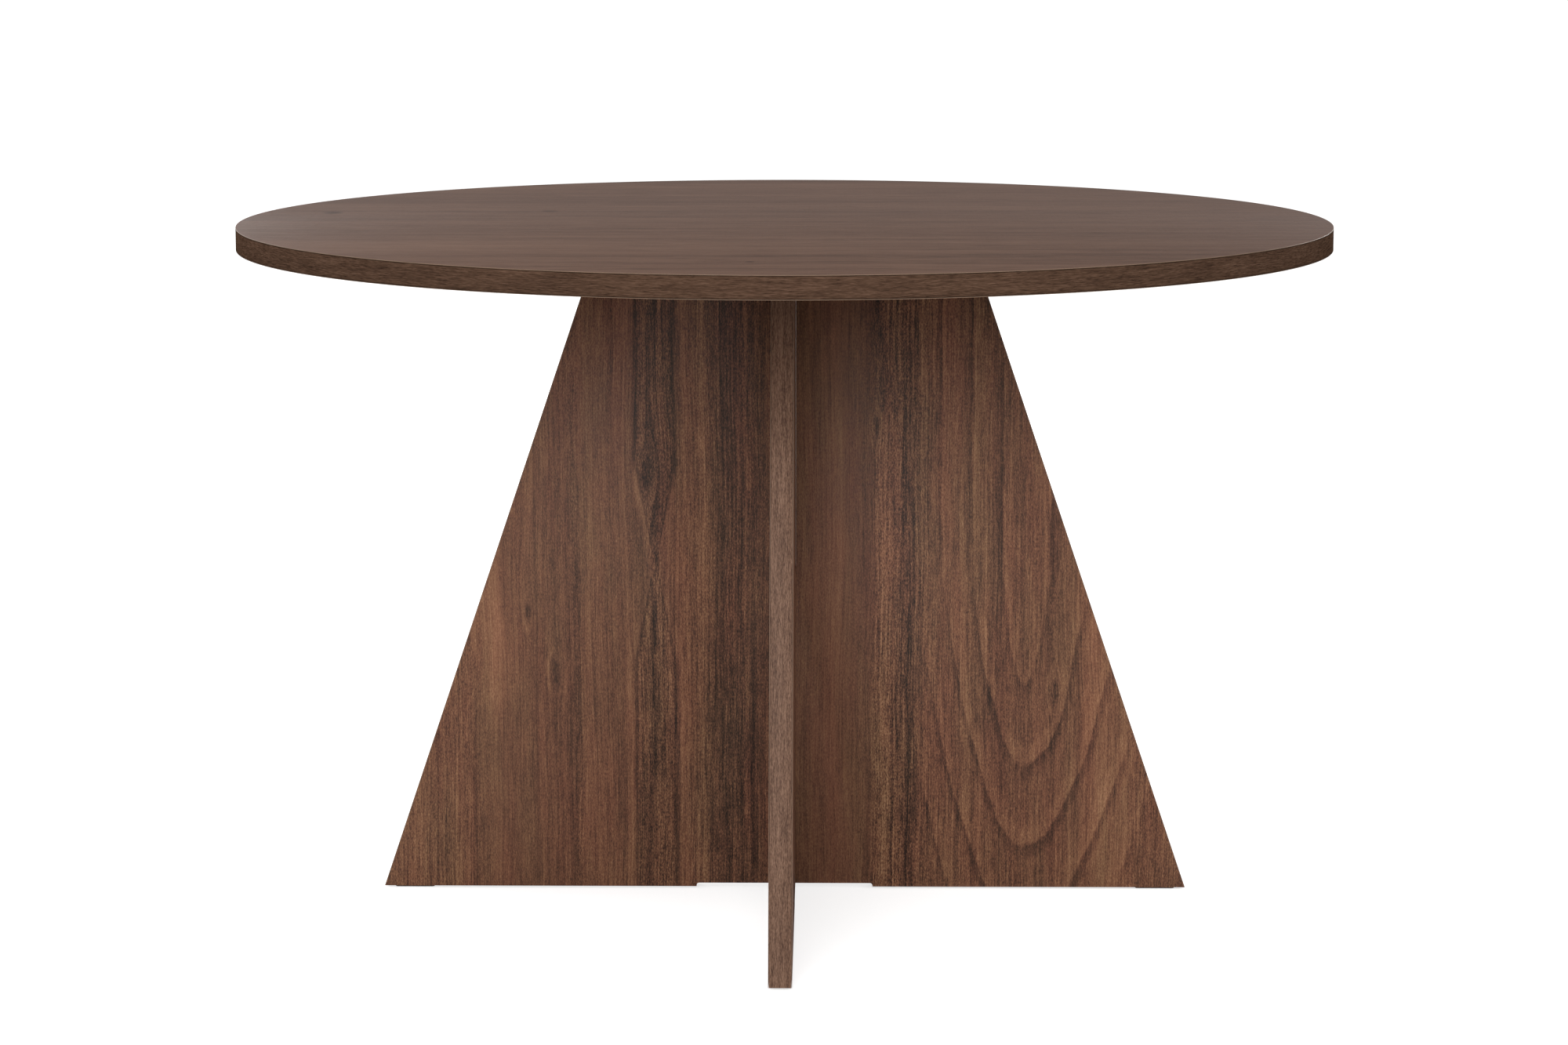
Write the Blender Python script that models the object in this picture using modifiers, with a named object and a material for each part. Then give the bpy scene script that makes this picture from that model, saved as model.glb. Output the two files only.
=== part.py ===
"""Round dining table that stands on two tapered panels crossed in an X.

Metres, +Z up. The origin is on the floor under the middle of the top. The wide panel runs
along X and the deep panel along Y, and they interlock by slots cut to half their height.
Every board is a fibreboard core between two veneers, with edge bands that the veneers cover.
"""

from math import atan2, cos, pi, sin

import bmesh
import bpy
from mathutils import Matrix, Vector

# ---------------------------------------------------------------- driving dimensions
TOP_DIAMETER = 1.2192
TABLE_HEIGHT = 0.762
TOP_THICKNESS = 0.025  # over both veneers
PANEL_THICKNESS = 0.025  # over both veneers
FOOT_WIDTH = 0.9144  # length of each panel along the floor
NECK_WIDTH = 0.4166  # length of each panel under the top

VENEER = 0.0006
EDGE_BAND = 0.001
GAP = 0.0003  # glue line or clearance between pieces that touch
SLOT_CLEARANCE = 0.0004  # between the crossed panels, at each face

RELIEF_WIDTH = 0.201  # shallow cut-away under the crossing, so that only the corners stand
RELIEF_HEIGHT = 0.004
RELIEF_RADIUS = 0.003

PAD_LENGTH = 0.0445
PAD_WIDTH = 0.018
PAD_THICKNESS = 0.0017
PAD_FROM_CORNER = 0.012
PAD_CORNER = 0.003

BRACKET_LENGTH = 0.08
BRACKET_LEG = 0.036
BRACKET_SHEET = 0.0025
BRACKET_BEND = 0.003  # radius inside the fold
BRACKET_CORNER = 0.006
BRACKET_HOLE = 0.0035
HOLE_SPACING = 0.05
HOLE_FROM_FOLD = 0.022

SCREW_RADIUS = 0.003  # M6
SCREW_SHORT = 0.002  # from the screw's tip to the far end of its insert
SCREW_TIP = 0.0006
HEAD_RADIUS = 0.00525
HEAD_HEIGHT = 0.0033
HEAD_RIM = 0.0008
KEY_ACROSS_FLATS = 0.004
KEY_DEPTH = 0.002

INSERT_RADIUS = 0.005
INSERT_LENGTH = 0.013

DOWEL_RADIUS = 0.004
DOWEL_IN_TOP = 0.012
DOWEL_IN_PANEL = 0.018
DOWEL_CHAMFER = 0.0008
DOWEL_FROM_CORNER = 0.0223  # in from the panel's end, under the top

RIM_SEGMENTS = 144
HOLE_SEGMENTS = 16
SCREW_SEGMENTS = 12

# ---------------------------------------------------------------- worked out from them
CORE_INSET = VENEER + GAP  # from a board's face to its core
BAND_INSET = EDGE_BAND + GAP  # from a board's edge to its core
UNDERSIDE = TABLE_HEIGHT - TOP_THICKNESS
PANEL_FOOT = PAD_THICKNESS + GAP
PANEL_HEAD = UNDERSIDE - GAP
PANEL_MIDDLE = (PANEL_FOOT + PANEL_HEAD) / 2
SLANT = atan2((FOOT_WIDTH - NECK_WIDTH) / 2, PANEL_HEAD - PANEL_FOOT)  # from the vertical
SLANT_NORMAL = Vector((cos(SLANT), sin(SLANT)))
SLOT_WIDTH = PANEL_THICKNESS + 2 * SLOT_CLEARANCE
HOLE_DEPTH = GAP + INSERT_LENGTH + GAP
INSERT_HOLE = INSERT_RADIUS + GAP
DOWEL_HOLE = DOWEL_RADIUS + GAP
DOWEL_FROM_AXIS = NECK_WIDTH / 2 - DOWEL_FROM_CORNER
BRACKET_FROM_AXIS = (PANEL_THICKNESS / 2 + DOWEL_FROM_AXIS) / 2  # middle of its length
HEAD_OFF_FACE = GAP + BRACKET_SHEET + GAP  # from a board's face to the underside of a head
SCREW_LENGTH = HEAD_OFF_FACE + GAP + INSERT_LENGTH - SCREW_SHORT
OVERCUT = 0.004  # how far a cutter stands out of the face it cuts

QUARTERS = {"right": 0, "back": 1, "left": 2, "front": 3}  # quarter turns from +X
WIDE_WINGS = ("right", "left")
DEEP_WINGS = ("back", "front")

# ---------------------------------------------------------------- materials
FINISHES = {
    "veneer_top": ((0.12, 0.075, 0.055), 0.38, 0.0),
    "veneer_panel": ((0.13, 0.065, 0.042), 0.5, 0.0),
    "veneer_band": ((0.12, 0.07, 0.048), 0.45, 0.0),
    "fibreboard": ((0.42, 0.31, 0.2), 0.85, 0.0),
    "felt": ((0.12, 0.1, 0.085), 0.95, 0.0),
    "black_steel": ((0.025, 0.025, 0.027), 0.45, 0.6),
    "zinc": ((0.62, 0.62, 0.6), 0.35, 1.0),
    "beech": ((0.62, 0.44, 0.27), 0.6, 0.0),
}


def finish(name):
    """The material of that name, made the first time it is asked for."""
    if name in bpy.data.materials:
        return bpy.data.materials[name]
    colour, roughness, metallic = FINISHES[name]
    material = bpy.data.materials.new(name)
    material.use_nodes = True
    shader = material.node_tree.nodes["Principled BSDF"]
    shader.inputs["Base Color"].default_value = (*colour, 1.0)
    shader.inputs["Roughness"].default_value = roughness
    shader.inputs["Metallic"].default_value = metallic
    return material


# ---------------------------------------------------------------- scene
def clear_scene():
    for thing in list(bpy.data.objects):
        bpy.data.objects.remove(thing)


def new_collection(name):
    collection = bpy.data.collections.new(name)
    bpy.context.scene.collection.children.link(collection)
    return collection


clear_scene()
TABLE = new_collection("round_table")
CUTTERS = new_collection("cutters")
CUTTERS.hide_render = True


def add_object(name, data, collection=TABLE):
    thing = bpy.data.objects.new(name, data)
    collection.objects.link(thing)
    return thing


def add_part(name, data, material, place=None):
    """A part of the table, with its material, at a matrix."""
    if not data.materials:
        data.materials.append(finish(material))
    part = add_object(name, data)
    if place is not None:
        part.matrix_world = place
    return part


def mesh_of(thing):
    """The evaluated shape of an object as a mesh of its own, with loose caps welded."""
    bpy.context.view_layer.update()
    graph = bpy.context.evaluated_depsgraph_get()
    mesh = bpy.data.meshes.new_from_object(thing.evaluated_get(graph))
    shape = bmesh.new()
    shape.from_mesh(mesh)
    bmesh.ops.remove_doubles(shape, verts=shape.verts, dist=1e-6)
    shape.to_mesh(mesh)
    shape.free()
    return mesh


def baked(thing):
    """The mesh of a helper object, which is removed."""
    mesh = mesh_of(thing)
    bpy.data.objects.remove(thing)
    return mesh


# ---------------------------------------------------------------- shapes
def arc(centre, radius, start, end, steps):
    """Points along a circular arc, in a plane."""
    turns = [start + (end - start) * i / steps for i in range(steps + 1)]
    return [(centre[0] + radius * cos(a), centre[1] + radius * sin(a)) for a in turns]


def circle(radius, segments):
    return arc((0.0, 0.0), radius, 0.0, 2 * pi, segments)[:-1]


def slab(outlines, thickness):
    """A flat board: closed outlines in the XY plane, filled, and thickened about Z = 0."""
    curve = bpy.data.curves.new("slab", "CURVE")
    curve.dimensions = "2D"
    curve.fill_mode = "BOTH"
    curve.extrude = thickness / 2
    for outline in outlines:
        spline = curve.splines.new("POLY")
        spline.points.add(len(outline) - 1)
        for point, (x, y) in zip(spline.points, outline):
            point.co = (x, y, 0.0, 1.0)
        spline.use_cyclic_u = True
    return baked(add_object("slab", curve, CUTTERS))


def turned(profile, segments):
    """A turned shape: (radius, height) points down its outer side, spun round Z."""
    mesh = bpy.data.meshes.new("turned")
    points = [(radius, 0.0, height) for radius, height in profile]
    closed = profile[0][0] > 0
    edges = [(i, i + 1) for i in range(len(points) - 1)]
    if closed:
        edges.append((len(points) - 1, 0))
    mesh.from_pydata(points, edges, [])
    shape = add_object("turned", mesh, CUTTERS)
    screw = shape.modifiers.new("spin", "SCREW")
    screw.steps = screw.render_steps = segments
    screw.use_merge_vertices = True
    screw.merge_threshold = 0.00001
    screw.use_smooth_shade = False
    return baked(shape)


def drilled(mesh, holes, name):
    """The mesh with round holes cut in it: (mouth, direction, radius, depth) for each one."""
    bits = bmesh.new()
    for mouth, direction, radius, depth in holes:
        length = depth + OVERCUT
        middle = Vector(mouth) + Vector(direction) * (depth - length / 2)
        turn = Vector((0, 0, 1)).rotation_difference(Vector(direction)).to_matrix().to_4x4()
        bmesh.ops.create_cone(
            bits,
            cap_ends=True,
            segments=HOLE_SEGMENTS,
            radius1=radius,
            radius2=radius,
            depth=length,
            matrix=Matrix.Translation(middle) @ turn,
        )
    cutter_mesh = bpy.data.meshes.new(f"{name}_bits")
    bits.to_mesh(cutter_mesh)
    bits.free()
    cutter = add_object(f"{name}_bits", cutter_mesh, CUTTERS)
    blank = add_object(f"{name}_blank", mesh, CUTTERS)
    cut = blank.modifiers.new("holes", "BOOLEAN")
    cut.operation = "DIFFERENCE"
    cut.solver = "EXACT"
    cut.object = cutter
    result = baked(blank)
    bpy.data.objects.remove(cutter)
    return result


def round_off(part):
    """Smooth shading on a round piece, with its sharp edges kept."""
    part.data.shade_smooth()
    part.data.set_sharp_from_angle(angle=0.6)


# ---------------------------------------------------------------- places on a wing
def wing_turn(wing):
    """Turns +X onto a wing, so that each wing is laid out alike."""
    return Matrix.Rotation(QUARTERS[wing] * pi / 2, 4, "Z")


def half_length(height):
    """Half the length of a panel at a height above the floor."""
    return NECK_WIDTH / 2 + (PANEL_HEAD - height) * (FOOT_WIDTH - NECK_WIDTH) / 2 / (
        PANEL_HEAD - PANEL_FOOT
    )


def bracket_holes():
    """Distances along the wing of a bracket's two pairs of holes."""
    return [BRACKET_FROM_AXIS + side * HOLE_SPACING / 2 for side in (-1, 1)]


def top_insert_mouths():
    """Where the inserts in the top open, in world coordinates."""
    across = PANEL_THICKNESS / 2 + GAP + HOLE_FROM_FOLD
    return {
        f"{wing}_{number}": wing_turn(wing) @ Vector((along, across, UNDERSIDE))
        for wing in QUARTERS
        for number, along in enumerate(bracket_holes(), 1)
    }


def panel_insert_mouths():
    """Where the inserts in the panels open, and the way out of each, in world coordinates."""
    height = UNDERSIDE - GAP - HOLE_FROM_FOLD
    return {
        f"{wing}_{number}": (
            wing_turn(wing) @ Vector((along, PANEL_THICKNESS / 2, height)),
            wing_turn(wing).to_3x3() @ Vector((0, 1, 0)),
        )
        for wing in QUARTERS
        for number, along in enumerate(bracket_holes(), 1)
    }


def dowel_places():
    """Where the dowels cross from the panels into the top, in world coordinates."""
    return {wing: wing_turn(wing) @ Vector((DOWEL_FROM_AXIS, 0, UNDERSIDE)) for wing in QUARTERS}


# ---------------------------------------------------------------- round top
def disc_at(radius, low, high):
    mesh = slab([circle(radius, RIM_SEGMENTS)], high - low)
    mesh.transform(Matrix.Translation((0, 0, (low + high) / 2)))
    return mesh


def build_top():
    """Core, two veneers and a band bent round the core's rim."""
    radius = TOP_DIAMETER / 2
    core_low, core_high = UNDERSIDE + CORE_INSET, TABLE_HEIGHT - CORE_INSET
    up = Vector((0, 0, 1))
    holes = [(mouth, up, INSERT_HOLE, HOLE_DEPTH) for mouth in top_insert_mouths().values()]
    holes += [(place, up, DOWEL_HOLE, DOWEL_IN_TOP + GAP) for place in dowel_places().values()]

    core = drilled(disc_at(radius - BAND_INSET, core_low, core_high), holes, "top_core")
    add_part("top_core", core, "fibreboard")
    backing = drilled(disc_at(radius, UNDERSIDE, UNDERSIDE + VENEER), holes, "top_backing")
    add_part("top_backing_veneer", backing, "veneer_top")
    add_part("top_face_veneer", disc_at(radius, TABLE_HEIGHT - VENEER, TABLE_HEIGHT), "veneer_top")

    rim = [circle(r, RIM_SEGMENTS) for r in (radius, radius - EDGE_BAND)]
    band = slab(rim, core_high - core_low)
    band.transform(Matrix.Translation((0, 0, (core_low + core_high) / 2)))
    add_part("top_edge_band", band, "veneer_band")


# ---------------------------------------------------------------- crossed panels
def relief_outline():
    """The cut-away under the crossing, from its right end to its left end, as (x, height)."""
    reach, top = RELIEF_WIDTH / 2, PANEL_FOOT + RELIEF_HEIGHT
    inner = reach - RELIEF_RADIUS
    right = arc((inner, top - RELIEF_RADIUS), RELIEF_RADIUS, 0, pi / 2, 4)
    left = [(-x, y) for x, y in reversed(right)]
    return [(reach, PANEL_FOOT), *right, *left, (-reach, PANEL_FOOT)]


def panel_outline(inset, slot_from_head):
    """A tapered panel in its own plane, as (x, height), going round anticlockwise.

    inset moves the slanted edges in, square to themselves. The slot runs from the head
    down to the middle, or from the foot up to it.
    """
    shift = inset / SLANT_NORMAL.x
    foot, neck = half_length(PANEL_FOOT) - shift, half_length(PANEL_HEAD) - shift
    half_slot = SLOT_WIDTH / 2
    relief = relief_outline()
    half = len(relief) // 2
    if slot_from_head:
        bottom = relief
        stop = PANEL_MIDDLE - SLOT_CLEARANCE
        slot = [
            (half_slot, PANEL_HEAD),
            (half_slot, stop),
            (-half_slot, stop),
            (-half_slot, PANEL_HEAD),
        ]
        top = [(foot, PANEL_FOOT), (neck, PANEL_HEAD), *slot, (-neck, PANEL_HEAD)]
        return [*top, (-foot, PANEL_FOOT), *reversed(bottom)]
    ceiling, stop = PANEL_FOOT + RELIEF_HEIGHT, PANEL_MIDDLE + SLOT_CLEARANCE
    slot = [(half_slot, ceiling), (half_slot, stop), (-half_slot, stop), (-half_slot, ceiling)]
    bottom = [*relief[:half], *slot, *relief[half:]]
    top = [(foot, PANEL_FOOT), (neck, PANEL_HEAD), (-neck, PANEL_HEAD), (-foot, PANEL_FOOT)]
    return [*top, *reversed(bottom)]


def stand_up(across):
    """Stands a board drawn as (x, height) on its foot in the XZ plane, moved across by Y."""
    return Matrix.Translation((0, across, 0)) @ Matrix.Rotation(pi / 2, 4, "X")


def build_panel(name, wings, sides, slot_from_head):
    """Core, two face veneers and two slanted edge bands of one panel.

    sides names the faces to the left (1) and the right (-1) of the first wing.
    """
    turn = wing_turn(wings[0])
    down = Vector((0, 0, -1))
    mouths = panel_insert_mouths()
    screw_holes = [
        (mouths[key][0], -mouths[key][1], INSERT_HOLE, HOLE_DEPTH)
        for key in mouths
        if key.split("_")[0] in wings
    ]
    dowel_holes = [
        (dowel_places()[wing] + down * GAP, down, DOWEL_HOLE, DOWEL_IN_PANEL + GAP)
        for wing in wings
    ]

    core = slab([panel_outline(BAND_INSET, slot_from_head)], PANEL_THICKNESS - 2 * CORE_INSET)
    core.transform(turn @ stand_up(0))
    core = drilled(core, screw_holes + dowel_holes, name)
    add_part(f"{name}_core", core, "fibreboard")

    face_at = PANEL_THICKNESS / 2 - VENEER / 2
    for side, face_name in sides.items():
        face = slab([panel_outline(0, slot_from_head)], VENEER)
        face.transform(turn @ stand_up(side * face_at))
        outward = turn.to_3x3() @ Vector((0, side, 0))
        own_holes = [hole for hole in screw_holes if hole[1].dot(outward) < 0]
        sheet = drilled(face, own_holes, f"{name}_{face_name}")
        add_part(f"{name}_veneer_{face_name}", sheet, "veneer_panel")

    for wing in wings:
        build_slanted_band(f"{name}_band_{wing}", wing)


def build_slanted_band(name, wing):
    """The strip glued to a panel's slanted edge, between the face veneers."""
    shift = EDGE_BAND / SLANT_NORMAL.x
    foot, neck = half_length(PANEL_FOOT), half_length(PANEL_HEAD)
    outline = [
        (foot - shift, PANEL_FOOT),
        (foot, PANEL_FOOT),
        (neck, PANEL_HEAD),
        (neck - shift, PANEL_HEAD),
    ]
    strip = slab([outline], PANEL_THICKNESS - 2 * CORE_INSET)
    strip.transform(wing_turn(wing) @ stand_up(0))
    add_part(name, strip, "veneer_band")


# ---------------------------------------------------------------- floor pads
def build_pads():
    """Self-adhesive felt strips under the four corners of the panels."""
    reach, side = PAD_LENGTH / 2 - PAD_CORNER, PAD_WIDTH / 2 - PAD_CORNER
    outline = []
    for quarter, (sx, sy) in enumerate(((1, 1), (-1, 1), (-1, -1), (1, -1))):
        start = quarter * pi / 2
        centre = (sx * reach, sy * side)
        outline += arc(centre, PAD_CORNER, start, start + pi / 2, 3)
    pad = slab([outline], PAD_THICKNESS)
    middle = FOOT_WIDTH / 2 - PAD_FROM_CORNER - PAD_LENGTH / 2
    for wing in QUARTERS:
        place = wing_turn(wing) @ Matrix.Translation((middle, 0, PAD_THICKNESS / 2))
        add_part(f"floor_pad_{wing}", pad, "felt", place)


# ---------------------------------------------------------------- brackets and fasteners
def bracket_mesh():
    """A folded steel angle: one leg down the panel, one under the top, the fold at its origin.

    Its length is along X, the panel's face is the plane Y = 0 and the top's is Z = 0.
    """
    half = BRACKET_LENGTH / 2
    fold = BRACKET_BEND + BRACKET_SHEET
    outline = [(BRACKET_LEG, 0), *arc((fold, -fold), fold, pi / 2, pi, 5), (0, -BRACKET_LEG)]
    inside = arc((fold, -fold), BRACKET_BEND, pi, pi / 2, 5)
    outline += [(BRACKET_SHEET, -BRACKET_LEG), *inside, (BRACKET_LEG, -BRACKET_SHEET)]
    angle = slab([outline], BRACKET_LENGTH)
    # (across, height) of the outline becomes Y and Z, and the thickness becomes X
    angle.transform(Matrix(((0, 0, 1, 0), (1, 0, 0, 0), (0, 1, 0, 0), (0, 0, 0, 1))))
    up, in_to_panel = Vector((0, 0, 1)), Vector((0, -1, 0))
    holes = []
    for side in (-1, 1):
        along = side * HOLE_SPACING / 2
        through = BRACKET_SHEET + OVERCUT
        holes.append(((along, HOLE_FROM_FOLD, -BRACKET_SHEET), up, BRACKET_HOLE, through))
        holes.append(((along, BRACKET_SHEET, -HOLE_FROM_FOLD), in_to_panel, BRACKET_HOLE, through))
    return trimmed_corners(drilled(angle, holes, "bracket"), half)


def trimmed_corners(mesh, half):
    """The bracket with the four outer corners of its legs rounded."""
    shape = bmesh.new()
    shape.from_mesh(mesh)
    corners = []
    for edge in shape.edges:
        a, b = (vert.co for vert in edge.verts)
        at_end = abs(abs(a.x) - half) < 1e-5 and abs(a.x - b.x) < 1e-5
        on_leg_tip = all(abs(v.y - BRACKET_LEG) < 1e-5 for v in (a, b)) or all(
            abs(v.z + BRACKET_LEG) < 1e-5 for v in (a, b)
        )
        if at_end and on_leg_tip:
            corners.append(edge)
    bmesh.ops.bevel(
        shape,
        geom=corners,
        offset=BRACKET_CORNER,
        segments=4,
        profile=0.5,
        affect="EDGES",
    )
    shape.to_mesh(mesh)
    shape.free()
    return mesh


def screw_mesh():
    """A button-head machine screw standing on its tip, the underside of its head at Z = 0."""
    crown = [
        (HEAD_RADIUS * sin(a), HEAD_RIM + (HEAD_HEIGHT - HEAD_RIM) * cos(a))
        for a in (0.0, 0.55, 1.05, pi / 2)
    ]
    shank = [
        (HEAD_RADIUS, 0),
        (SCREW_RADIUS, 0),
        (SCREW_RADIUS, SCREW_TIP - SCREW_LENGTH),
        (SCREW_RADIUS - SCREW_TIP, -SCREW_LENGTH),
        (0, -SCREW_LENGTH),
    ]
    blank = add_object("screw_blank", turned([*crown, *shank], SCREW_SEGMENTS), CUTTERS)
    key = bmesh.new()
    key_radius = KEY_ACROSS_FLATS / 2 / cos(pi / 6)
    bmesh.ops.create_cone(
        key,
        cap_ends=True,
        segments=6,
        radius1=key_radius,
        radius2=key_radius,
        depth=KEY_DEPTH + OVERCUT,
        matrix=Matrix.Translation((0, 0, HEAD_HEIGHT + (OVERCUT - KEY_DEPTH) / 2)),
    )
    key_mesh = bpy.data.meshes.new("key")
    key.to_mesh(key_mesh)
    key.free()
    cutter = add_object("key", key_mesh, CUTTERS)
    cut = blank.modifiers.new("socket", "BOOLEAN")
    cut.operation = "DIFFERENCE"
    cut.solver = "EXACT"
    cut.object = cutter
    mesh = baked(blank)
    bpy.data.objects.remove(cutter)
    return mesh


def insert_mesh():
    """A threaded sleeve with its mouth at Z = 0, running down into the board."""
    bore = SCREW_RADIUS + GAP
    return turned(
        [(INSERT_RADIUS, 0), (INSERT_RADIUS, -INSERT_LENGTH), (bore, -INSERT_LENGTH), (bore, 0)],
        SCREW_SEGMENTS,
    )


def dowel_mesh():
    """A beech dowel with chamfered ends; Z = 0 is where it passes into the top."""
    tip = DOWEL_RADIUS - DOWEL_CHAMFER
    return turned(
        [
            (0, DOWEL_IN_TOP),
            (tip, DOWEL_IN_TOP),
            (DOWEL_RADIUS, DOWEL_IN_TOP - DOWEL_CHAMFER),
            (DOWEL_RADIUS, DOWEL_CHAMFER - DOWEL_IN_PANEL),
            (tip, -DOWEL_IN_PANEL),
            (0, -DOWEL_IN_PANEL),
        ],
        SCREW_SEGMENTS,
    )


def along_axis(point, direction):
    """A matrix that puts an origin at a point and its +Z along a direction."""
    turn = Vector((0, 0, 1)).rotation_difference(direction).to_matrix().to_4x4()
    return Matrix.Translation(point) @ turn


def build_fixings():
    """One bracket in each corner of the cross, with its screws, inserts and the wing's dowel."""
    bracket, screw, insert, dowel = bracket_mesh(), screw_mesh(), insert_mesh(), dowel_mesh()
    down = Vector((0, 0, -1))
    corner = Vector((BRACKET_FROM_AXIS, PANEL_THICKNESS / 2 + GAP, UNDERSIDE - GAP))
    for wing in QUARTERS:
        part = add_part(
            f"bracket_{wing}",
            bracket,
            "black_steel",
            wing_turn(wing) @ Matrix.Translation(corner),
        )
        round_off(part)
        dowel_at = Matrix.Translation(dowel_places()[wing])
        round_off(add_part(f"dowel_{wing}", dowel, "beech", dowel_at))
    for key, mouth in top_insert_mouths().items():
        screw_at = along_axis(mouth + down * HEAD_OFF_FACE, down)
        round_off(add_part(f"top_screw_{key}", screw, "zinc", screw_at))
        insert_at = along_axis(mouth - down * GAP, down)
        round_off(add_part(f"top_insert_{key}", insert, "zinc", insert_at))
    for key, (mouth, out) in panel_insert_mouths().items():
        screw_at = along_axis(mouth + out * HEAD_OFF_FACE, out)
        round_off(add_part(f"panel_screw_{key}", screw, "zinc", screw_at))
        insert_at = along_axis(mouth - out * GAP, out)
        round_off(add_part(f"panel_insert_{key}", insert, "zinc", insert_at))


build_top()
build_panel("wide_panel", WIDE_WINGS, {1: "rear", -1: "front"}, slot_from_head=True)
build_panel("deep_panel", DEEP_WINGS, {1: "left", -1: "right"}, slot_from_head=False)
build_pads()
build_fixings()
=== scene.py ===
"""The looks of a round walnut dining table on two crossed, tapered panels.

Metres, +Z up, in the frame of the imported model. The wide panel runs along X, the deep panel
along Y. Each section makes one piece of the table, or one group of like pieces.
"""

from math import atan2, cos, pi, radians, sin

import bpy
from mathutils import Matrix, Vector


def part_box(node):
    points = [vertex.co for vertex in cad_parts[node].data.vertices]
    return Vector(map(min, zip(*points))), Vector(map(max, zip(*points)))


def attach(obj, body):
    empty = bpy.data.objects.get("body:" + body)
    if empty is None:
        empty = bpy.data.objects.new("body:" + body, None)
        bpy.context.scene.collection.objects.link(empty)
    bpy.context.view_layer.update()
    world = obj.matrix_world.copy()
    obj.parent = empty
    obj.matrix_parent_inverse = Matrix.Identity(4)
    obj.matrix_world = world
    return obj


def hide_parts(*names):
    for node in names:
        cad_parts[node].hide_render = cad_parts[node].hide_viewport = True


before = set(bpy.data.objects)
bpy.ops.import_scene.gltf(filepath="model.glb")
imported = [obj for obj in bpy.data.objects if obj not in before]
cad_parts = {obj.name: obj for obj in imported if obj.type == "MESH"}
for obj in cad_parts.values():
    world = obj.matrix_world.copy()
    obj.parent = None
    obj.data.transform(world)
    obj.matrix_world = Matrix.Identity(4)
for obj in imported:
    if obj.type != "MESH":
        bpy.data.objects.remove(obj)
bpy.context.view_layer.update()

# ---------------------------------------------------------------- cores of the boards
# Three boards of raw fibreboard carry the veneers: the round top and the two panels, which
# slot into each other. Only their bottom edges can be seen, sawn and not banded. Their shape
# is already right, so they stay and take a finish of pressed, slightly furry wood fibre.
FIBRE_PALE = (0.36, 0.25, 0.155)
FIBRE_DARK = (0.2, 0.13, 0.078)
FIBRE_SPECK = 0.0006  # size of one tuft of fibre
FIBRE_CLOUD = 1 / 30  # size of a patch where the fibre is paler or darker
FIBRE_RELIEF = 0.0002


class Amount:
    """A number, colour or vector that changes over a surface. Sums on numbers add Math nodes."""

    def __init__(self, finish, socket):
        self.finish = finish
        self.socket = socket

    def __add__(self, other):
        return self.finish.maths("ADD", self, other)

    def __sub__(self, other):
        return self.finish.maths("SUBTRACT", self, other)

    def __rsub__(self, other):
        return self.finish.maths("SUBTRACT", other, self)

    def __mul__(self, other):
        return self.finish.maths("MULTIPLY", self, other)

    def __truediv__(self, other):
        return self.finish.maths("DIVIDE", self, other)

    def __pow__(self, other):
        return self.finish.maths("POWER", self, other)

    def __abs__(self):
        return self.finish.maths("ABSOLUTE", self)

    __radd__ = __add__
    __rmul__ = __mul__


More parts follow.
